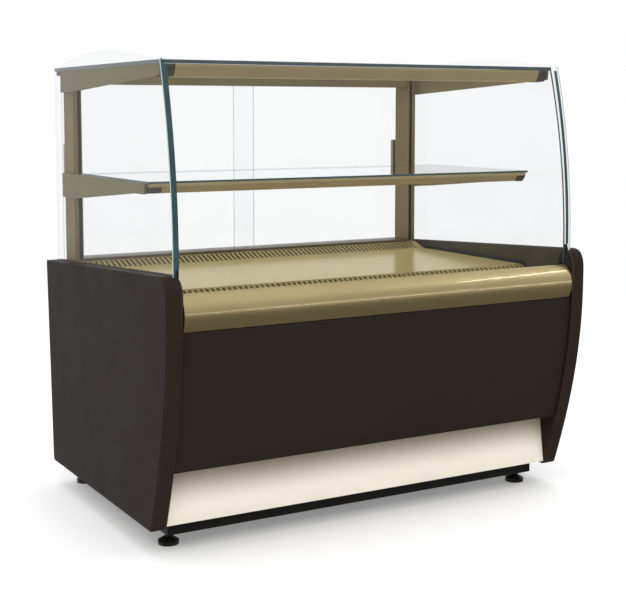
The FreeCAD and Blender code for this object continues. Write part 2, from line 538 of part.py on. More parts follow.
CPY, CPZ = 113.0, 1165.0
SPY, SPZ = 204.0, 866.0
prof_c = poly(profile(CPY, CPZ, 1.14), -568.0, 568.0).cut(
    box(-569.0, 569.0, CPY + 20.0, CPY + 34.0, CPZ - 40.0, CPZ - 24.0))
prof_s = poly(profile(SPY, SPZ, 0.93), -568.0, 568.0).cut(
    box(-569.0, 569.0, SPY + 20.0, SPY + 34.0, SPZ - 40.0, SPZ - 19.0))
save("canopy_light_profile", prof_c)
lip_s = poly(profile(SPY, SPZ, 0.93), -599.0, 599.0).common(box(-600.0, 600.0, SPY - 1, SPY + 50, SPZ - 9.0, SPZ + 1))
prof_s = prof_s.fuse(lip_s).removeSplitter()
save("shelf_front_profile", prof_s)
save("led_strips", [box(-560.0, 560.0, CPY + 20.5, CPY + 33.5, CPZ - 29.5, CPZ - 24.0),
                    box(-560.0, 560.0, SPY + 20.5, SPY + 33.5, SPZ - 24.5, SPZ - 19.0)])
caps = both(poly(profile(CPY, CPZ, 1.14), 568.0, 599.0)) + both(
    poly(profile(SPY, SPZ, 0.93), 568.0, 599.0).cut(box(560.0, 605.0, SPY - 1, SPY + 50, SPZ - 9.0, SPZ + 1)))
save("profile_end_caps", caps)

sb = poly([(791.0, 866.0), (228.0, 866.0), (232.0, 838.5), (300.0, 837.5), (695.0, 802.0), (791.0, 795.0)], 599.0, 607.5)
sb2 = sb.fuse(box(599.0, 607.5, 791.0, 871.0, 795.0, 866.0)).removeSplitter()
save("shelf_brackets", both(sb2))
shelf = box(-607.0, 607.0, SHELF_Y0, SHELF_Y1, SHELF_Z - SHELF_T, SHELF_Z)
save("shelf_glass", shelf.makeFillet(0.8, [e for e in shelf.Edges if e.BoundBox.XLength > 500]))

# ---- curved front glass, its clamp carrier and the fixed hinge blocks --------------------------------------
half = FRONT_GLASS_T / 2
zc = 665.0


def arcpts(r, zt):
    """Front or back face of the bent part: radius r about a centre behind the glass."""
    cy = FRONT_GLASS_Y + FRONT_GLASS_R
    z1 = zt - zc
    a1 = math.asin(z1 / FRONT_GLASS_R)
    return [(cy - r * math.cos(a), zc + r * math.sin(a)) for a in (0.0, a1 / 2, a1)]


ZT = 1173.5
fo_ = arcpts(FRONT_GLASS_R + half, ZT)
fi_ = arcpts(FRONT_GLASS_R - half, ZT)
ybo, ybi = FRONT_GLASS_Y - half, FRONT_GLASS_Y + half
glass = sweep_x([
    line((ybo, 597.1), (ybo, zc), 0), arc(fo_[0], fo_[1], fo_[2], 0), line(fo_[2], fi_[2], 0),
    arc(fi_[2], fi_[1], fi_[0], 0), line((ybi, zc), (ybi, 597.1), 0), line((ybi, 597.1), (ybo, 597.1), 0)],
    0, 2 * FRONT_GLASS_HALF)
glass.translate(V(-FRONT_GLASS_HALF, 0, 0))
save("front_glass", glass)

car = box(-602.0, 602.0, 25.6, 36.5, 592.5, 607.0).cut(box(-603.0, 603.0, ybo - 0.05, ybi + 0.05, 597.0, 608.0))
lug = box(588.0, 602.0, 36.5, 44.5, 592.5, 611.5).cut(box(587.0, 603.0, 36.0, 36.5, 590.0, 612.0))
pin = cyl(PIN_R, 5.6, 602.0, HINGE_Y, HINGE_Z, (1, 0, 0))
car = car.fuse(both(lug) + both(pin)).removeSplitter()
save("front_glass_carrier", car)

blk = [(2.0, 560.0), (-0.4, 580.0), (-0.2, 602.0), (2.6, 620.0), (9.0, 634.0), (19.0, 643.0), (30.0, 646.5),
       (42.0, 644.0), (51.0, 636.0), (57.0, 622.0), (59.0, 604.0), (57.0, 588.0)]
bk = sweep_x([spline(blk, 0), line(blk[-1], (44.0, 566.0), 0), line((44.0, 566.0), blk[0], 0)], 0, 4.6)
bk.translate(V(603.3, 0, 0))
bk = bk.cut(cyl(PIN_R + PIN_CLEAR, 10.0, 602.0, HINGE_Y, HINGE_Z, (1, 0, 0)))
save("hinge_blocks", both(bk))

# ---- rear door tracks, doors, handles ------------------------------------------------------------------------
tl = box(-606.0, 606.0, 872.0, 892.0, 596.0, 604.6).cut(
    [box(-607.0, 607.0, DOOR_IN_Y - 0.5, DOOR_IN_Y + DOOR_T + 0.5, 598.0, 606.0),
     box(-607.0, 607.0, DOOR_OUT_Y - 0.5, DOOR_OUT_Y + DOOR_T + 0.5, 598.0, 606.0)])
tu = box(-606.0, 606.0, 871.2, 912.0, 1153.0, 1165.0).cut(
    [box(-607.0, 607.0, DOOR_IN_Y - 0.5, DOOR_IN_Y + DOOR_T + 0.5, 1150.0, 1162.0),
     box(-607.0, 607.0, DOOR_OUT_Y - 0.5, DOOR_OUT_Y + DOOR_T + 0.5, 1150.0, 1162.0)])
save("door_tracks", [tl, tu])
DZ0, DZ1 = 598.05, 1160.0
dl = box(-604.0, 32.0, DOOR_IN_Y, DOOR_IN_Y + DOOR_T, DZ0, DZ1)
dr = box(-34.0, 604.0, DOOR_OUT_Y, DOOR_OUT_Y + DOOR_T, DZ0, DZ1)
save("door_left", dl)
save("door_right", dr)


def handle(x, y, depth):
    h = box(x - 9.0, x + 9.0, y, y + depth, 830.0, 950.0)
    h = h.makeFillet(3.0, [e for e in h.Edges if e.BoundBox.YMin > y + depth - 0.1 and e.BoundBox.ZLength > 50])
    return h


save("door_handle_left", handle(-584.0, DOOR_IN_Y + DOOR_T, 22.0))
save("door_handle_right", handle(584.0, DOOR_OUT_Y + DOOR_T, 16.0))

# ---- screws: rear panel and the frame brackets ------------------------------------------------------------------
scr = []
for x, z in screw_pos:
    scr.append(cyl(4.8, 2.6, x, RPY + 1.5, z, (0, 1, 0)).fuse(cyl(2.5, 10.0, x, RPY - 8.5, z, (0, 1, 0))).cut(
        cyl(1.6, 1.6, x, RPY + 2.9, z, (0, 1, 0))))
save("panel_screws", scr)
print("done")
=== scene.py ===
import math

import bmesh
import bpy
from mathutils import Matrix, Vector


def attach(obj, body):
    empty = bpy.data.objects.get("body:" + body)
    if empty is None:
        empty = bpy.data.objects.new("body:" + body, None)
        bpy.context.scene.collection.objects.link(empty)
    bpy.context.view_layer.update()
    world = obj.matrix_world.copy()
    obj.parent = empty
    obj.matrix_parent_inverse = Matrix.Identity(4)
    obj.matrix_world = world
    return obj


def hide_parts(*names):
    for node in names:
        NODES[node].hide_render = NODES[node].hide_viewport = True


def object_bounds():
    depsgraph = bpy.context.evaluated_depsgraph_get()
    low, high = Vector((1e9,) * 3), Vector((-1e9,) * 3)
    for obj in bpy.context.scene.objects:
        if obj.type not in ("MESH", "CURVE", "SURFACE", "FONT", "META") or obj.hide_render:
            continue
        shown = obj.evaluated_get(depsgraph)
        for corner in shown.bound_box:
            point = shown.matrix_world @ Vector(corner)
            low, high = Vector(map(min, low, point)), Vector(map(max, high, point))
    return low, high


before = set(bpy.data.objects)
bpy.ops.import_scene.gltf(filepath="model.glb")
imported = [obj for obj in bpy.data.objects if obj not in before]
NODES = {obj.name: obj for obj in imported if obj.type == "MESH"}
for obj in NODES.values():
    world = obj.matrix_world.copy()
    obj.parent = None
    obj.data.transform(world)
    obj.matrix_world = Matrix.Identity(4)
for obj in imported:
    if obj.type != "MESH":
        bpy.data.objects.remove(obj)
CAD_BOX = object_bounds()
scene = bpy.context.scene


# ---------------------------------------------------------------------------------------------
# node helpers
# ---------------------------------------------------------------------------------------------
def lin(rgb):
    """sRGB 0-255 to linear."""
    out = []
    for c in rgb:
        c = c / 255.0
        out.append(c / 12.92 if c <= 0.04045 else ((c + 0.055) / 1.055) ** 2.4)
    return (out[0], out[1], out[2], 1.0)


class Mat:
    def __init__(self, name):
        self.m = bpy.data.materials.new(name)
        self.m.use_nodes = True
        self.t = self.m.node_tree
        self.t.nodes.clear()
        self.out = self.t.nodes.new("ShaderNodeOutputMaterial")
        self.tc = self.t.nodes.new("ShaderNodeTexCoord")

    def put(self, sock, v):
        if isinstance(v, bpy.types.NodeSocket):
            self.t.links.new(v, sock)
        elif v is not None:
            sock.default_value = v

    def node(self, kind, ins=None, **props):
        n = self.t.nodes.new(kind)
        for k, v in props.items():
            setattr(n, k, v)
        for k, v in (ins or {}).items():
            self.put(n.inputs[k], v)
        return n

    def place(self, scale=(1, 1, 1), shift=(0, 0, 0)):
        return self.node("ShaderNodeMapping", {"Vector": self.tc.outputs["Object"], "Scale": scale, "Location": shift}).outputs[0]

    def noise(self, scale, detail=3.0, rough=0.55, stretch=(1, 1, 1), shift=(0, 0, 0), distort=0.0):
        return self.node("ShaderNodeTexNoise", {"Vector": self.place(stretch, shift), "Scale": scale, "Detail": detail,
                                                "Roughness": rough, "Distortion": distort}).outputs["Fac"]

    def cells(self, scale, what="Distance", stretch=(1, 1, 1)):
        return self.node("ShaderNodeTexVoronoi", {"Vector": self.place(stretch), "Scale": scale}).outputs[what]

    def axis(self, which, source="Object"):
        s = self.node("ShaderNodeSeparateXYZ", {0: self.tc.outputs[source]})
        return s.outputs[which]

    def math(self, op, a, b=None, c=None, clamp=False):
        n = self.node("ShaderNodeMath", operation=op, use_clamp=clamp)
        self.put(n.inputs[0], a)
        if b is not None:
            self.put(n.inputs[1], b)
        if c is not None:
            self.put(n.inputs[2], c)
        return n.outputs[0]

    def span(self, v, a, b, c=0.0, d=1.0, smooth=False):
        n = self.node("ShaderNodeMapRange", {"Value": v, "From Min": a, "From Max": b, "To Min": c, "To Max": d})
        if smooth:
            n.interpolation_type = "SMOOTHSTEP"
        return n.outputs[0]

    def mix(self, f, a, b, blend="MIX"):
        n = self.node("ShaderNodeMix", data_type="RGBA", blend_type=blend)
        self.put(n.inputs[0], f)
        self.put(n.inputs[6], a)
        self.put(n.inputs[7], b)
        return n.outputs[2]

    def bump(self, height, distance, strength=1.0, normal=None):
        n = self.node("ShaderNodeBump", {"Height": height, "Distance": distance, "Strength": strength})
        if normal is not None:
            self.put(n.inputs["Normal"], normal)
        return n.outputs[0]

    def soft_edge(self, radius, samples=4):
        return self.node("ShaderNodeBevel", {"Radius": radius}, samples=samples).outputs[0]

    def edge_mask(self, soft):
        """1 on rounded edges, 0 on flat faces."""
        g = self.node("ShaderNodeNewGeometry")
        d = self.node("ShaderNodeVectorMath", operation="DOT_PRODUCT")
        self.put(d.inputs[0], soft)
        self.put(d.inputs[1], g.outputs["True Normal"])
        return self.span(d.outputs["Value"], 0.995, 0.80, 0.0, 1.0)

    def principled(self, **ins):
        n = self.node("ShaderNodeBsdfPrincipled")
        for k, v in ins.items():
            self.put(n.inputs[k.replace("_", " ")], v)
        return n

    def done(self, shader):
        self.t.links.new(shader, self.out.inputs["Surface"])
        return self.m


def finish(name, base, second=None, patch=5.0, patch_amount=0.6, metallic=0.0, rough=0.4, rough_var=0.08, spec=0.5,
           coat=0.0, coat_rough=0.05, grain=(900.0, 0.00002), stretch=(1, 1, 1), waves=None, edge=0.0006,
           edge_wear_and_sheen=None, edge_wear_and_sheen_amount=0.35, speck=None, low=None, zones=(), crease_shade_and_grime=0.0, tint=None, fine_amount=0.08,
           fine_rough=140.0):
    """A painted, moulded or metal surface: clouded colour, broken-up roughness, grain and soft edges.
    low = (z0, z1, colour, amount) shifts the colour towards z0, for dust near the floor; zones is a list of
    (mask function, colour, amount); creases are darkened by ambient occlusion, a painted shade with grime; rounded
    edges take the edge colour, as wear that on the brown panels also stands in for a painted edge highlight."""
    g = Mat(name)
    cloud = g.span(g.noise(patch, 4.0, 0.6), 0.3, 0.7)
    colour = g.mix(g.math("MULTIPLY", cloud, patch_amount), lin(base), lin(second or base))
    fine = g.noise(grain[0], 2.0, 0.5, stretch)
    colour = g.mix(g.span(fine, 0.25, 0.75, 0.0, fine_amount), colour, (0.0, 0.0, 0.0, 1.0))
    if speck is not None:
        s = g.cells(speck[0], "Color")
        v = g.node("ShaderNodeSeparateColor", {0: s}).outputs[0]
        colour = g.mix(g.span(v, 0.55, 1.0, 0.0, speck[1]), colour, lin(speck[2]))
    soft = g.soft_edge(edge) if edge else None
    # rounded edges recoloured: wear, and where lighter on the brown panels a painted highlight
    if edge_wear_and_sheen is not None and soft is not None:
        m = g.math("MULTIPLY", g.edge_mask(soft), g.span(g.noise(60.0, 3.0, 0.7), 0.35, 0.7, 0.25, 1.0))
        colour = g.mix(g.math("MULTIPLY", m, edge_wear_and_sheen_amount), colour, lin(edge_wear_and_sheen))
    for fn, tone, amount in zones:
        colour = g.mix(g.math("MULTIPLY", fn(g), amount), colour, lin(tone))
    # creases darkened by ambient occlusion: painted shade, with grime
    if crease_shade_and_grime:
        ao = g.node("ShaderNodeAmbientOcclusion", {"Distance": 0.02}, samples=4)
        colour = g.mix(g.math("MULTIPLY", g.span(ao.outputs["AO"], 0.75, 0.1, 0.0, 1.0), crease_shade_and_grime), colour, lin((30, 26, 22)))
    if low is not None:
        z = g.math("ADD", g.axis(2), g.span(g.noise(9.0, 4.0, 0.65), 0.3, 0.7, -0.012, 0.012))
        colour = g.mix(g.span(z, low[1], low[0], 0.0, low[3]), colour, lin(low[2]))
    r = g.math("ADD", rough, g.span(g.noise(patch * 5.0, 4.0, 0.65, shift=(3.1, 1.7, 0.4)), 0.3, 0.7, -rough_var, rough_var), clamp=True)
    r = g.math("ADD", r, g.span(g.noise(fine_rough, 2.0, 0.5, stretch), 0.3, 0.7, -rough_var * 0.3, rough_var * 0.3), clamp=True)
    normal = g.bump(fine, grain[1], 1.0, soft)
    if waves is not None:
        normal = g.bump(g.noise(waves[0], 2.0, 0.4), waves[1], 1.0, normal)
    p = g.principled(Base_Color=colour, Metallic=metallic, Roughness=r, Specular_IOR_Level=spec, Coat_Weight=coat,
                     Coat_Roughness=coat_rough, Normal=normal)
    if tint is not None:
        g.put(p.inputs["Specular Tint"], lin(tint))
    return g.done(p.outputs[0])


def pane(name, tint, edge_colour, edge_axis, edge_below=True, extra_top=False, haze=0.010, gloss=1.3, edge_clear=0.0):
    """Sheet glass: clear faces that mirror by Fresnel, and coloured cut edges. edge_axis is the thin direction: faces
    whose normal has little of it are the cut edges (edge_below), or those with much of it when edge_below is False.
    edge_colour(g) gives the edge's colour; edge_clear, a number or a function, is how much light passes through it."""
    g = Mat(name)
    n = g.math("ABSOLUTE", g.axis(edge_axis, "Normal"))
    edge = g.math("LESS_THAN", n, 0.5) if edge_below else g.math("GREATER_THAN", n, 0.5)
    if extra_top:
        up = g.math("GREATER_THAN", g.math("ABSOLUTE", g.axis(2, "Normal")), 0.85)
        edge = g.math("MAXIMUM", edge, up)
    geo = g.node("ShaderNodeNewGeometry")
    front = g.math("SUBTRACT", 1.0, geo.outputs["Backfacing"])
    fres = g.node("ShaderNodeFresnel", {"IOR": 1.5}).outputs[0]
    mirror = g.math("MULTIPLY", g.math("MULTIPLY", fres, gloss), front, clamp=True)
    smear = g.span(g.noise(7.0, 5.0, 0.65, distort=0.6), 0.45, 0.8, 0.0, haze)
    film = g.mix(g.span(g.noise(2.0, 3.0, 0.5), 0.3, 0.7), tint, tuple(min(1.0, c * 1.004) for c in tint[:3]) + (1.0,))
    clear = g.node("ShaderNodeBsdfTransparent", {"Color": film})
    gl = g.node("ShaderNodeBsdfGlossy", {"Color": (1, 1, 1, 1), "Roughness": g.math("ADD", 0.004, smear)})
    body = g.node("ShaderNodeMixShader", {0: mirror, 1: clear.outputs[0], 2: gl.outputs[0]})
    veil = g.node("ShaderNodeBsdfDiffuse", {"Color": (0.9, 0.93, 0.93, 1)})
    body = g.node("ShaderNodeMixShader", {0: smear, 1: body.outputs[0], 2: veil.outputs[0]})
    rim = g.principled(Base_Color=edge_colour(g), Roughness=g.span(g.noise(300.0, 2.0, 0.5), 0.3, 0.7, 0.18, 0.34), Coat_Weight=0.3,
                       Coat_Roughness=0.1, Specular_IOR_Level=0.4,
                       Normal=g.bump(g.noise(1400.0, 2.0, 0.5), 0.00001))
    rim_out = rim.outputs[0]
    through = edge_clear(g) if callable(edge_clear) else edge_clear
    if callable(edge_clear) or edge_clear > 0:
        rc = g.node("ShaderNodeBsdfTransparent", {"Color": (1, 1, 1, 1)})
        rim_out = g.node("ShaderNodeMixShader", {0: through, 1: rim_out, 2: rc.outputs[0]}).outputs[0]
    both = g.node("ShaderNodeMixShader", {0: edge, 1: body.outputs[0], 2: rim_out})
    return g.done(both.outputs[0])


def clouded(a, b, scale=26.0):
    """An edge colour that drifts between two tones."""
    return lambda g: g.mix(g.span(g.noise(scale, 3.0, 0.6), 0.35, 0.7), lin(a), lin(b))


def facing_front(g):
    """Cut edges that face the front, seen from either side of the sheet."""
    back = g.node("ShaderNodeNewGeometry").outputs["Backfacing"]
    outward = g.math("MULTIPLY", g.axis(1, "Normal"), g.math("SUBTRACT", 1.0, g.math("MULTIPLY", back, 2.0)))
    return g.math("LESS_THAN", outward, -0.3)


def side_edge_colour(g):
    """Side glass: deep teal where the bonded strip and the front edge meet, paler along its outer corner."""
    x = g.axis(0)
    ax = g.math("ABSOLUTE", x)
    dark = g.mix(g.span(g.noise(18.0, 3.0, 0.6), 0.35, 0.7), lin((50, 76, 80)), lin((40, 60, 64)))
    left = g.math("LESS_THAN", x, 0.0)
    pale_l = g.mix(g.math("GREATER_THAN", ax, 0.6176), dark, lin((176, 204, 204)))
    pale_r = g.mix(g.math("GREATER_THAN", ax, 0.6128), dark, lin((232, 238, 239)))
    pale_r = g.mix(g.math("GREATER_THAN", ax, 0.6184), pale_r, lin((74, 84, 88)))
    front = g.mix(left, pale_r, pale_l)
    other = g.mix(g.span(g.noise(30.0), 0.3, 0.7), lin((236, 241, 241)), lin((224, 231, 232)))
    return g.mix(facing_front(g), other, front)


def side_edge_clear(g):
    """Only the front edge is solid colour; the ground arch and rear edge let the light through."""
    return g.span(facing_front(g), 0.0, 1.0, 0.88, 0.0)


# ---------------------------------------------------------------------------------------------
# materials
# ---------------------------------------------------------------------------------------------
GOLD = (182, 166, 120)
GOLD_2 = (172, 156, 110)


def inner_wall_deck_reflection(g):
    """The inward faces of the side panels above the bumper, whose olive tone is a painted reflection of the gold deck.
    """
    near = g.math("LESS_THAN", g.math("ABSOLUTE", g.axis(0)), 0.6092)
    return g.math("MULTIPLY", near, g.math("GREATER_THAN", g.axis(2), 0.60))


def post_groove_shade(g):
    """Painted shade down the groove in the front of each rear post."""
    ax = g.math("ABSOLUTE", g.axis(0))
    y = g.axis(1)
    a = g.math("MULTIPLY", g.math("GREATER_THAN", ax, 0.5757), g.math("LESS_THAN", ax, 0.5863))
    return g.math("MULTIPLY", a, g.math("MULTIPLY", g.math("GREATER_THAN", y, 0.3364), g.math("LESS_THAN", y, 0.3456)))


def bracket_side_shade(g):
    """The outward sheet faces of the shelf and canopy brackets, in a greyer tone: painted shade, as these faces turn
    away from the light.
    """
    return g.math("GREATER_THAN", g.math("ABSOLUTE", g.axis(0)), 0.5995)


def glass_strip_highlight(g):
    """The part of the rubber that holds the side glass, near the panel tops, lightened as a painted highlight along the
    panel's top edge.
    """
    return g.math("GREATER_THAN", g.math("ABSOLUTE", g.axis(0)), 0.6095)


def under_grilles(g):
    """The shaded tops of the foam and liner below the slotted grilles."""
    rear = g.math("GREATER_THAN", g.axis(1), 0.262)
    front = g.math("LESS_THAN", g.axis(1), -0.222)
    return g.math("MULTIPLY", g.math("MAXIMUM", rear, front), g.math("GREATER_THAN", g.axis(2), 0.56))


def kick_top(g):
    """The shade that the front panel's overhang leaves on the top of the kick plate."""
    return g.span(g.math("ADD", g.axis(2), g.span(g.noise(5.0), 0.3, 0.7, -0.0015, 0.0015)), 0.112, 0.215, 0.0, 1.0, smooth=True)


MATS = {}
# side panels: the olive inward faces are a painted reflection of the gold deck
MATS["side_panels"] = finish("brown_panel", (45, 37, 32), (41, 33, 28), patch=1.6, patch_amount=0.45, rough=0.5, rough_var=0.04,
                             spec=0.05, grain=(1500.0, 0.000008), waves=(160.0, 0.00001), edge=0.0014,
                             # the lighter rounded edges are a painted highlight, partly wear
                             edge_wear_and_sheen=(116, 104, 98), edge_wear_and_sheen_amount=0.6, low=(0.06, 0.16, (62, 54, 49), 0.10),
                             zones=((inner_wall_deck_reflection, (84, 75, 58), 0.85),))
# front panel: its lighter rounded edges are a painted highlight, partly wear
MATS["front_panel"] = finish("brown_front", (44, 36, 32), (40, 33, 29), patch=1.6, patch_amount=0.5, rough=0.42, rough_var=0.04,
                             spec=0.08, grain=(1500.0, 0.000008), waves=(160.0, 0.00001), edge=0.0008,
                             edge_wear_and_sheen=(108, 95, 88), edge_wear_and_sheen_amount=0.2)
MATS["kick_plate"] = finish("cream_kick", (250, 243, 229), (246, 238, 222), patch=4.0, rough=0.42, rough_var=0.07, spec=0.2,
                            grain=(1300.0, 0.000006), waves=(120.0, 0.000008), edge=0.0006, edge_wear_and_sheen=(220, 210, 190),
                            low=(0.07, 0.10, (196, 186, 168), 0.25), zones=((kick_top, (124, 113, 94), 0.92),))
MATS["bumper"] = finish("gold_bumper", (180, 162, 115), (168, 150, 102), patch=3.0, metallic=0.85, rough=0.31, rough_var=0.015, coat=1.0,
                        coat_rough=0.02, grain=(22.0, 0.000006), edge=None, spec=0.1, tint=(226, 206, 150), fine_amount=0.02,
                        fine_rough=24.0)
MATS["display_deck"] = finish("gold_deck", (194, 175, 121), (185, 166, 112), patch=3.0, metallic=0.24, rough=0.19, rough_var=0.03,
                              grain=(22.0, 0.000006), edge=None, spec=0.05, tint=(206, 186, 132), fine_amount=0.02,
                              fine_rough=24.0)
MATS["vent_grilles"] = finish("gold_grille", (156, 140, 94), (146, 130, 85), patch=4.0, metallic=0.25, rough=0.42, rough_var=0.05,
                              grain=(26.0, 0.000006), edge=None, spec=0.05, tint=(180, 164, 122), fine_amount=0.03, fine_rough=26.0)
# gold frame: the greyer outward bracket faces are painted shade
MATS["gold_frame"] = finish("gold_frame", (134, 120, 88), (124, 109, 78), patch=5.0, metallic=0.28, rough=0.38, rough_var=0.06,
                            spec=0.10, grain=(1400.0, 0.000004), stretch=(1, 1, 0.12), edge=0.0007,
                            edge_wear_and_sheen=(196, 182, 142), edge_wear_and_sheen_amount=0.3, tint=(186, 170, 130),
                            # the dark post grooves are painted shade
                            zones=((bracket_side_shade, (127, 118, 97), 0.8), (post_groove_shade, (64, 52, 34), 0.9)))
MATS["gold_profile"] = finish("gold_profile", (180, 163, 120), (168, 151, 108), patch=5.0, metallic=0.45, rough=0.34, rough_var=0.05,
                              spec=0.12, grain=(40.0, 0.000004), stretch=(0.1, 1, 1), edge=None, tint=(206, 188, 142), fine_amount=0.03,
                              fine_rough=40.0)
MATS["rear_ledge"] = finish("gold_ledge", (168, 154, 112), (156, 142, 100), patch=5.0, metallic=0.55, rough=0.32, rough_var=0.05,
                            coat=0.25, coat_rough=0.1, grain=(1600.0, 0.000004), stretch=(0.1, 1, 1), edge=0.0007,
                            edge_wear_and_sheen=(214, 200, 160), edge_wear_and_sheen_amount=0.25)
MATS["rear_panel"] = finish("rear_sheet", (132, 130, 125), (122, 120, 115), patch=4.0, metallic=0.7, rough=0.36, rough_var=0.07,
                            grain=(900.0, 0.000008), stretch=(0.04, 1, 1), edge=0.0006, edge_wear_and_sheen=(205, 203, 198), edge_wear_and_sheen_amount=0.3,
                            low=(0.06, 0.16, (92, 88, 80), 0.3), crease_shade_and_grime=0.5)
MATS["end_caps"] = finish("cap_plastic", (62, 54, 47), (54, 47, 41), patch=9.0, rough=0.42, rough_var=0.06, spec=0.3,
                          grain=(1800.0, 0.00001), edge=0.0008, edge_wear_and_sheen=(96, 86, 74))
# rubber: the lighter strip at the panel tops is a painted highlight
MATS["rubber"] = finish("seal_rubber", (26, 26, 25), (34, 33, 31), patch=14.0, rough=0.62, rough_var=0.1, spec=0.3,
                        grain=(1500.0, 0.00002), edge=0.0006, zones=((glass_strip_highlight, (98, 88, 82), 0.9),))
MATS["frame_black"] = finish("black_powder", (19, 18, 16), (25, 24, 22), patch=6.0, rough=0.5, rough_var=0.08, spec=0.3,
                             grain=(1100.0, 0.00003), edge=0.0008, edge_wear_and_sheen=(60, 58, 54), low=(0.02, 0.05, (48, 45, 40), 0.25))
MATS["feet"] = finish("foot_nylon", (19, 18, 17), (26, 25, 23), patch=16.0, rough=0.46, rough_var=0.08, spec=0.3,
                      grain=(1300.0, 0.00002), edge=0.0008, edge_wear_and_sheen=(60, 58, 54), low=(0.0, 0.012, (56, 52, 46), 0.35))
MATS["black_plastic"] = finish("black_plastic", (24, 24, 25), (31, 31, 31), patch=14.0, rough=0.4, rough_var=0.07, spec=0.35,
                               grain=(1700.0, 0.00002), edge=0.0008, edge_wear_and_sheen=(60, 60, 60))
MATS["keys"] = finish("key_rubber", (72, 74, 78), (64, 66, 70), patch=60.0, rough=0.5, rough_var=0.08, grain=(2600.0, 0.00001),
                      edge=0.0005, edge_wear_and_sheen=(110, 112, 116))
MATS["rocker"] = finish("rocker_green", (20, 118, 54), (16, 100, 46), patch=40.0, rough=0.28, rough_var=0.05, coat=0.3,
                        grain=(2600.0, 0.000006), edge=0.0006, edge_wear_and_sheen=(70, 160, 96))
MATS["carrier"] = finish("carrier_alu", (58, 55, 48), (48, 45, 39), patch=6.0, metallic=0.7, rough=0.36, rough_var=0.07,
                         grain=(1300.0, 0.000006), stretch=(0.05, 1, 1), edge=0.0006)
MATS["tracks"] = finish("track_alu", (96, 82, 56), (84, 71, 47), patch=6.0, metallic=0.5, rough=0.38, rough_var=0.07,
                        grain=(1300.0, 0.000008), stretch=(0.05, 1, 1), edge=0.0006, edge_wear_and_sheen=(176, 160, 122))
MATS["handles"] = finish("handle_alu", (150, 138, 104), (136, 124, 92), patch=12.0, metallic=0.85, rough=0.3, rough_var=0.06,
                         grain=(1500.0, 0.000006), stretch=(1, 1, 0.06), edge=0.0008)
MATS["screws"] = finish("screw_zinc", (178, 178, 176), (150, 150, 148), patch=40.0, metallic=0.95, rough=0.3, rough_var=0.08,
                        grain=(2400.0, 0.00001), edge=0.0004)
MATS["galvanised"] = finish("galvanised", (168, 172, 176), (138, 142, 148), patch=26.0, patch_amount=1.0, metallic=0.85, rough=0.42,
                            rough_var=0.12, grain=(700.0, 0.00001), edge=0.0006, speck=(90.0, 0.35, (200, 204, 208)), crease_shade_and_grime=0.4)
MATS["liner"] = finish("liner_steel", (186, 188, 190), (168, 170, 172), patch=5.0, metallic=0.9, rough=0.3, rough_var=0.06,
                       grain=(1100.0, 0.000008), stretch=(0.04, 1, 1), edge=0.0006,
                      zones=((under_grilles, (50, 44, 32), 0.92),))
MATS["coils"] = finish("coil_fins", (176, 180, 184), (150, 154, 158), patch=18.0, metallic=0.8, rough=0.4, rough_var=0.1,
                       grain=(1500.0, 0.00001), edge=None)
MATS["foam"] = finish("pu_foam", (216, 196, 138), (198, 174, 112), patch=16.0, patch_amount=1.0, rough=0.85, rough_var=0.1, spec=0.2,
                      grain=(500.0, 0.0002), edge=0.001, speck=(420.0, 0.3, (176, 152, 96)),
                      zones=((under_grilles, (50, 44, 32), 0.92),))
MATS["fan_plastic"] = finish("fan_plastic", (36, 37, 39), (44, 45, 47), patch=20.0, rough=0.42, rough_var=0.07, grain=(1700.0, 0.00002),
                             edge=0.0006)
MATS["fan_metal"] = finish("fan_alu", (176, 178, 180), (154, 156, 158), patch=18.0, metallic=0.9, rough=0.34, rough_var=0.08,
                           grain=(900.0, 0.00001), stretch=(0.2, 1, 0.2), edge=0.0006)
MATS["motor"] = finish("motor_case", (92, 96, 100), (76, 80, 84), patch=18.0, metallic=0.6, rough=0.45, rough_var=0.08,
                       grain=(900.0, 0.00003), edge=0.0008, edge_wear_and_sheen=(150, 150, 150))
MATS["compressor"] = finish("compressor_paint", (20, 20, 21), (28, 28, 29), patch=10.0, rough=0.3, rough_var=0.07, coat=0.4,
                            grain=(700.0, 0.00003), edge=0.0012, edge_wear_and_sheen=(80, 80, 80))
MATS["copper"] = finish("copper_tube", (196, 118, 78), (160, 88, 58), patch=30.0, patch_amount=1.0, metallic=1.0, rough=0.26,
                        rough_var=0.1, grain=(1200.0, 0.000008), edge=None, speck=(160.0, 0.25, (112, 66, 46)))
MATS["pan_plastic"] = finish("pan_plastic", (58, 60, 62), (48, 50, 52), patch=12.0, rough=0.5, rough_var=0.08, grain=(1500.0, 0.00002),
                             edge=0.0008)
MATS["box_plastic"] = finish("box_plastic", (176, 178, 174), (162, 164, 160), patch=10.0, rough=0.45, rough_var=0.07,
                             grain=(1500.0, 0.00003), edge=0.0008)
MATS["display_window"] = finish("display_window", (14, 10, 11), (20, 13, 14), patch=40.0, rough=0.08, rough_var=0.03, coat=1.0,
                                coat_rough=0.02, grain=(2600.0, 0.000002), edge=0.0004)


def led_material():
    g = Mat("led_diffuser")
    x = g.axis(0)
    dots = g.math("ABSOLUTE", g.math("SUBTRACT", g.math("FRACT", g.math("MULTIPLY", x, 60.0)), 0.5))
    glow = g.span(dots, 0.0, 0.5, 1.0, 0.78, smooth=True)
    colour = g.mix(g.span(g.noise(20.0), 0.3, 0.7), lin((238, 238, 228)), lin((226, 228, 220)))
    p = g.principled(Base_Color=colour, Roughness=0.45, Normal=g.bump(g.noise(1500.0), 0.00001),
                     Emission_Color=lin((255, 250, 236)), Emission_Strength=g.math("MULTIPLY", glow, 0.25))
    return g.done(p.outputs[0])


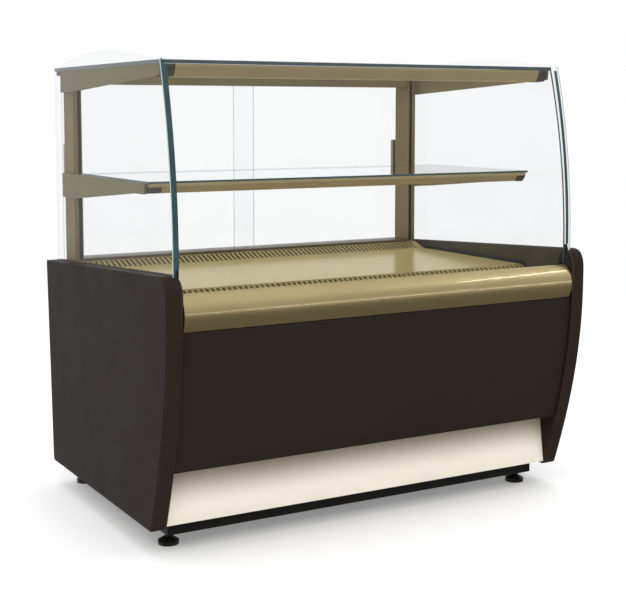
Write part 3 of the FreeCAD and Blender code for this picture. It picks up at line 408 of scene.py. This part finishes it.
MATS["led"] = led_material()
CLEAR = (0.990, 0.995, 0.995, 1)
MATS["side_glass"] = pane("glass_side", (0.966, 0.973, 0.973, 1), side_edge_colour, 0, edge_clear=side_edge_clear, gloss=0.35)
MATS["front_glass"] = pane("glass_front", CLEAR, clouded((58, 82, 86), (44, 64, 68)), 0, edge_below=False, extra_top=True, gloss=0.9)
MATS["canopy_glass"] = pane("glass_canopy", (0.955, 0.975, 0.975, 1), clouded((64, 80, 87), (48, 62, 68)), 2, gloss=0.8)
MATS["shelf_glass"] = pane("glass_shelf", (0.955, 0.970, 0.968, 1), clouded((48, 80, 80), (34, 60, 61)), 2, gloss=1.0)
MATS["door_glass"] = pane("glass_door", CLEAR, clouded((176, 184, 186), (158, 168, 170)), 1, edge_clear=0.25, gloss=0.8)

for name, o in NODES.items():
    old = o.material_slots[0].material.name.split(".")[0]
    if old not in MATS:
        raise RuntimeError("no material for " + old)
    for s in o.material_slots:
        s.material = MATS[s.material.name.split(".")[0]]


# ---------------------------------------------------------------------------------------------
# mesh helpers
# ---------------------------------------------------------------------------------------------
def mesh_object(name, bm, material, body, smooth=False):
    me = bpy.data.meshes.new(name)
    bmesh.ops.recalc_face_normals(bm, faces=bm.faces)
    bm.to_mesh(me)
    bm.free()
    me.materials.append(material)
    if smooth:
        for p in me.polygons:
            p.use_smooth = True
    o = bpy.data.objects.new(name, me)
    scene.collection.objects.link(o)
    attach(o, body)
    return o


def prism(bm, outline, a, b, depth):
    """A closed prism: outline points (u, v) in a plane with axes a and b, extruded along depth; all row-frame vectors."""
    org, ua, ub = a
    top = [bm.verts.new(org + ua * u + ub * v) for u, v in outline]
    bot = [bm.verts.new(org + ua * u + ub * v + depth) for u, v in outline]
    n = len(outline)
    bm.faces.new(top)
    bm.faces.new(list(reversed(bot)))
    for i in range(n):
        bm.faces.new([top[i], bot[i], bot[(i + 1) % n], top[(i + 1) % n]])


def smooth_curve(pts, per):
    """Catmull-Rom curve through (y, z) points, in mm."""
    ext = [(2 * pts[0][0] - pts[1][0], 2 * pts[0][1] - pts[1][1])] + pts + [(2 * pts[-1][0] - pts[-2][0], 2 * pts[-1][1] - pts[-2][1])]
    out = []
    for i in range(1, len(ext) - 2):
        for k in range(per):
            t = k / per
            q = []
            for c in (0, 1):
                a, b, d, e = ext[i - 1][c], ext[i][c], ext[i + 1][c], ext[i + 2][c]
                q.append(0.5 * (2 * b + (d - a) * t + (2 * a - 5 * b + 4 * d - e) * t * t + (3 * b - a - 3 * d + e) * t ** 3))
            out.append(tuple(q))
    out.append(pts[-1])
    return out


def row(x, y, z):
    """A point of the part's working frame, mm, in the row frame, m."""
    return Vector((x / 1000.0, (y - 455.0) / 1000.0, (z + 66.0) / 1000.0))


def x_prism(bm, outline, x0, x1, cuts=1):
    """A closed prism along x from a (y, z) outline."""
    rings = []
    for i in range(cuts + 1):
        x = x0 + (x1 - x0) * i / cuts
        rings.append([bm.verts.new(row(x, y, z)) for y, z in outline])
    n = len(outline)
    for a, b in zip(rings, rings[1:]):
        for i in range(n):
            j = (i + 1) % n
            bm.faces.new([a[i], a[j], b[j], b[i]])
    bm.faces.new(rings[0])
    bm.faces.new(list(reversed(rings[-1])))


# bumper: the same section as the part's, swept cleanly, with softened ends
bo = [(22.5, 610.6), (12.4, 603.4), (3.0, 590.0), (-3.2, 577.0), (-6.6, 563.0), (-6.4, 549.0), (-3.6, 536.0), (0.6, 525.5), (6.0, 517.0)]
outer = smooth_curve(bo, 6)
bm = bmesh.new()
x_prism(bm, outer + [(24.0, 516.4), (24.0, 519.6)], -602.6, 602.6, 12)
bmesh.ops.recalc_face_normals(bm, faces=bm.faces)
for e in bm.edges:
    if len(e.link_faces) == 2 and e.calc_face_angle(0.0) > math.radians(24):
        e.smooth = False
BUMPER = mesh_object("bumper_shell", bm, MATS["bumper"], "cabinet", smooth=True)
bev = BUMPER.modifiers.new("soft ends", "BEVEL")
bev.width, bev.segments, bev.limit_method, bev.angle_limit = 0.0009, 2, "ANGLE", math.radians(40)
bev.harden_normals = True
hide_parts("bumper")


def both_sides(bm, outline, x0, x1):
    x_prism(bm, outline, x0, x1)
    x_prism(bm, [(y, z) for y, z in reversed(outline)], -x1, -x0)


def soften(o, width, segments=2, angle=35.0):
    b = o.modifiers.new("soft edges", "BEVEL")
    b.width, b.segments, b.limit_method, b.angle_limit = width, segments, "ANGLE", math.radians(angle)
    b.harden_normals = True
    for p in o.data.polygons:
        p.use_smooth = True
    return o


def sharp(bm, degrees=24.0):
    bmesh.ops.recalc_face_normals(bm, faces=bm.faces)
    for e in bm.edges:
        if len(e.link_faces) == 2 and e.calc_face_angle(0.0) > math.radians(degrees):
            e.smooth = False


# hinge covers: a small black cap over each front glass hinge, filling the corner below the glass strip
cover = smooth_curve([(24.6, 646.0), (24.7, 656.0), (25.4, 664.0), (28.2, 667.6), (31.4, 664.2), (34.6, 655.0), (38.4, 646.0)], 4)
bm = bmesh.new()
both_sides(bm, cover, 603.1, 611.4)
sharp(bm)
soften(mesh_object("hinge_covers", bm, MATS["black_plastic"], "cabinet", smooth=True), 0.0006)

# sill trim along the foot of the sliding doors, between the rear posts
sill = [(788.2, 604.0), (788.2, 614.0), (788.8, 615.4), (790.2, 616.0), (866.0, 616.0), (868.6, 615.2), (869.4, 613.0),
        (869.4, 604.6), (867.4, 604.6), (867.4, 613.6), (790.6, 613.6), (790.6, 604.0)]
bm = bmesh.new()
x_prism(bm, sill, -572.4, 572.4, 6)
sharp(bm)
soften(mesh_object("door_sill_trim", bm, MATS["tracks"], "cabinet", smooth=True), 0.0005)

# ---------------------------------------------------------------------------------------------
# stage: floor, backdrop, lights, camera
# ---------------------------------------------------------------------------------------------
def build_stage():
    lo, hi = CAD_BOX
    # floor: a wide disc that fades into the backdrop
    bm = bmesh.new()
    rings = [0.0, 0.8, 1.6, 2.6, 4.0, 6.0, 9.0]
    seg = 72
    prev = None
    for r in rings:
        if r == 0.0:
            prev = [bm.verts.new((0, 0, 0))]
            continue
        ring = [bm.verts.new((r * math.cos(2 * math.pi * i / seg), r * math.sin(2 * math.pi * i / seg), 0)) for i in range(seg)]
        for i in range(seg):
            j = (i + 1) % seg
            bm.faces.new([prev[0], ring[i], ring[j]] if len(prev) == 1 else [prev[i], ring[i], ring[j], prev[j]])
        prev = ring
    me = bpy.data.meshes.new("floor")
    bm.to_mesh(me)
    bm.free()
    floor = bpy.data.objects.new("floor", me)
    floor.location = (0, 0, lo.z - 0.0005)
    scene.collection.objects.link(floor)
    g = Mat("floor_pale")
    x, y = g.axis(0), g.axis(1)
    rr = g.math("SQRT", g.math("ADD", g.math("MULTIPLY", x, x), g.math("MULTIPLY", y, y)))
    fade = g.span(rr, 1.7, 5.5, 0.0, 1.0, smooth=True)
    tone = g.mix(g.span(g.noise(1.5), 0.3, 0.7), (0.93, 0.93, 0.925, 1), (0.95, 0.95, 0.95, 1))
    d = g.principled(Base_Color=tone, Roughness=0.7, Specular_IOR_Level=0.15, Normal=g.bump(g.noise(90.0), 0.00005))
    g.put(d.inputs["Emission Color"], tone)
    g.put(d.inputs["Emission Strength"], 0.22)
    tr = g.node("ShaderNodeBsdfTransparent")
    mx = g.node("ShaderNodeMixShader", {0: fade, 1: d.outputs[0], 2: tr.outputs[0]})
    pale = g.done(mx.outputs[0])
    pale.cycles.emission_sampling = "NONE"
    floor.data.materials.append(pale)

    # backdrop: a white dome seen behind everything
    bm = bmesh.new()
    bmesh.ops.create_icosphere(bm, subdivisions=4, radius=40.0)
    bmesh.ops.reverse_faces(bm, faces=bm.faces)
    me = bpy.data.meshes.new("backdrop")
    bm.to_mesh(me)
    bm.free()
    for p in me.polygons:
        p.use_smooth = True
    dome = bpy.data.objects.new("backdrop", me)
    scene.collection.objects.link(dome)
    g = Mat("backdrop_white")
    e = g.node("ShaderNodeEmission", {"Color": (1, 1, 1, 1), "Strength": 1.0})
    white = g.done(e.outputs[0])
    white.cycles.emission_sampling = "NONE"
    dome.data.materials.append(white)
    dome.visible_diffuse = False
    dome.visible_glossy = False
    dome.visible_shadow = False
    floor.visible_glossy = False

    # studio light
    world = bpy.data.worlds.new("studio")
    scene.world = world
    world.use_nodes = True
    wt = world.node_tree
    wt.nodes.clear()
    wo = wt.nodes.new("ShaderNodeOutputWorld")
    bg = wt.nodes.new("ShaderNodeBackground")
    tc = wt.nodes.new("ShaderNodeTexCoord")
    sep = wt.nodes.new("ShaderNodeSeparateXYZ")

    def ramp(v, a, b, c, d):
        n = wt.nodes.new("ShaderNodeMapRange")
        n.interpolation_type = "SMOOTHSTEP"
        for k, q in (("From Min", a), ("From Max", b), ("To Min", c), ("To Max", d)):
            n.inputs[k].default_value = q
        wt.links.new(v, n.inputs["Value"])
        return n.outputs[0]

    def blend(f, a, b):
        n = wt.nodes.new("ShaderNodeMix")
        n.data_type = "FLOAT"
        for k, q in ((0, f), (2, a), (3, b)):
            if isinstance(q, bpy.types.NodeSocket):
                wt.links.new(q, n.inputs[k])
            else:
                n.inputs[k].default_value = q
        return n.outputs[0]

    wt.links.new(tc.outputs["Generated"], sep.inputs[0])
    wall = ramp(sep.outputs["Y"], -0.35, 0.45, 0.42, 1.0)
    strength = blend(ramp(sep.outputs["Z"], 0.08, 0.75, 0.0, 1.0), wall, 1.02)
    under = ramp(sep.outputs["Y"], -0.2, 0.5, 0.08, 0.62)
    strength = blend(ramp(sep.outputs["Z"], 0.0, -0.30, 0.0, 1.0), strength, under)
    wt.links.new(strength, bg.inputs["Strength"])
    bg.inputs["Color"].default_value = (0.995, 0.998, 1.0, 1)
    wt.links.new(bg.outputs[0], wo.inputs["Surface"])

    def area(name, at, aim, size, power, colour=(1, 1, 1), mirrored=False):
        li = bpy.data.lights.new(name, "AREA")
        li.shape = "RECTANGLE"
        li.size, li.size_y = size
        li.energy = power
        li.color = colour
        ob = bpy.data.objects.new(name, li)
        ob.location = at
        ob.rotation_mode = "QUATERNION"
        ob.rotation_quaternion = (Vector(aim) - Vector(at)).to_track_quat("-Z", "Y")
        ob.visible_glossy = mirrored
        scene.collection.objects.link(ob)
        if mirrored:
            only = bpy.data.collections.new("lit_by_" + name)
            only.objects.link(BUMPER)
            ob.light_linking.receiver_collection = only
        return ob

    area("key_left", (-3.2, -1.6, 2.7), (0, 0, 0.7), (2.4, 2.0), 14)
    area("top_soft", (0.1, -0.2, 3.6), (0, 0, 0.4), (3.0, 2.4), 46)
    area("low_fill", (0.5, -3.4, 0.34), (0.15, -0.3, 0.14), (2.6, 0.5), 17)
    # two narrow lamps that draw the lines along the bumper
    area("strip_high", (2.77, -2.34, 2.99), (0.4, -0.455, 0.65), (0.80, 0.075), 3.4, mirrored=True)
    area("strip_low", (1.94, -3.45, 0.80), (0.2, -0.455, 0.65), (2.5, 0.13), 5.2, mirrored=True)

    cam = bpy.data.cameras.new("camera")
    co = bpy.data.objects.new("camera", cam)
    scene.collection.objects.link(co)
    cx, cy, cz = -1814.6, -2762.8, 1051.6
    yaw, pitch, f, centre = 29.588, 5.419, 1264.9, 230.0
    co.location = (cx / 1000.0, (cy - 455.0) / 1000.0, (cz + 66.0) / 1000.0)
    co.rotation_euler = (math.radians(90.0 - pitch), 0.0, math.radians(-yaw))
    cam.sensor_width = 36.0
    cam.lens = f / 626.0 * 36.0
    cam.shift_y = -(300.0 - centre) / 626.0
    cam.clip_start, cam.clip_end = 0.05, 200.0
    scene.camera = co

    vs = scene.view_settings
    vs.view_transform = "Standard"
    vs.look = "None"
    vs.exposure = 0.0
    vs.gamma = 1.0
    scene.cycles.transparent_max_bounces = 32
    scene.cycles.max_bounces = 10
    scene.cycles.glossy_bounces = 4
    scene.cycles.caustics_reflective = False
    scene.cycles.sample_clamp_indirect = 3.0


build_stage()
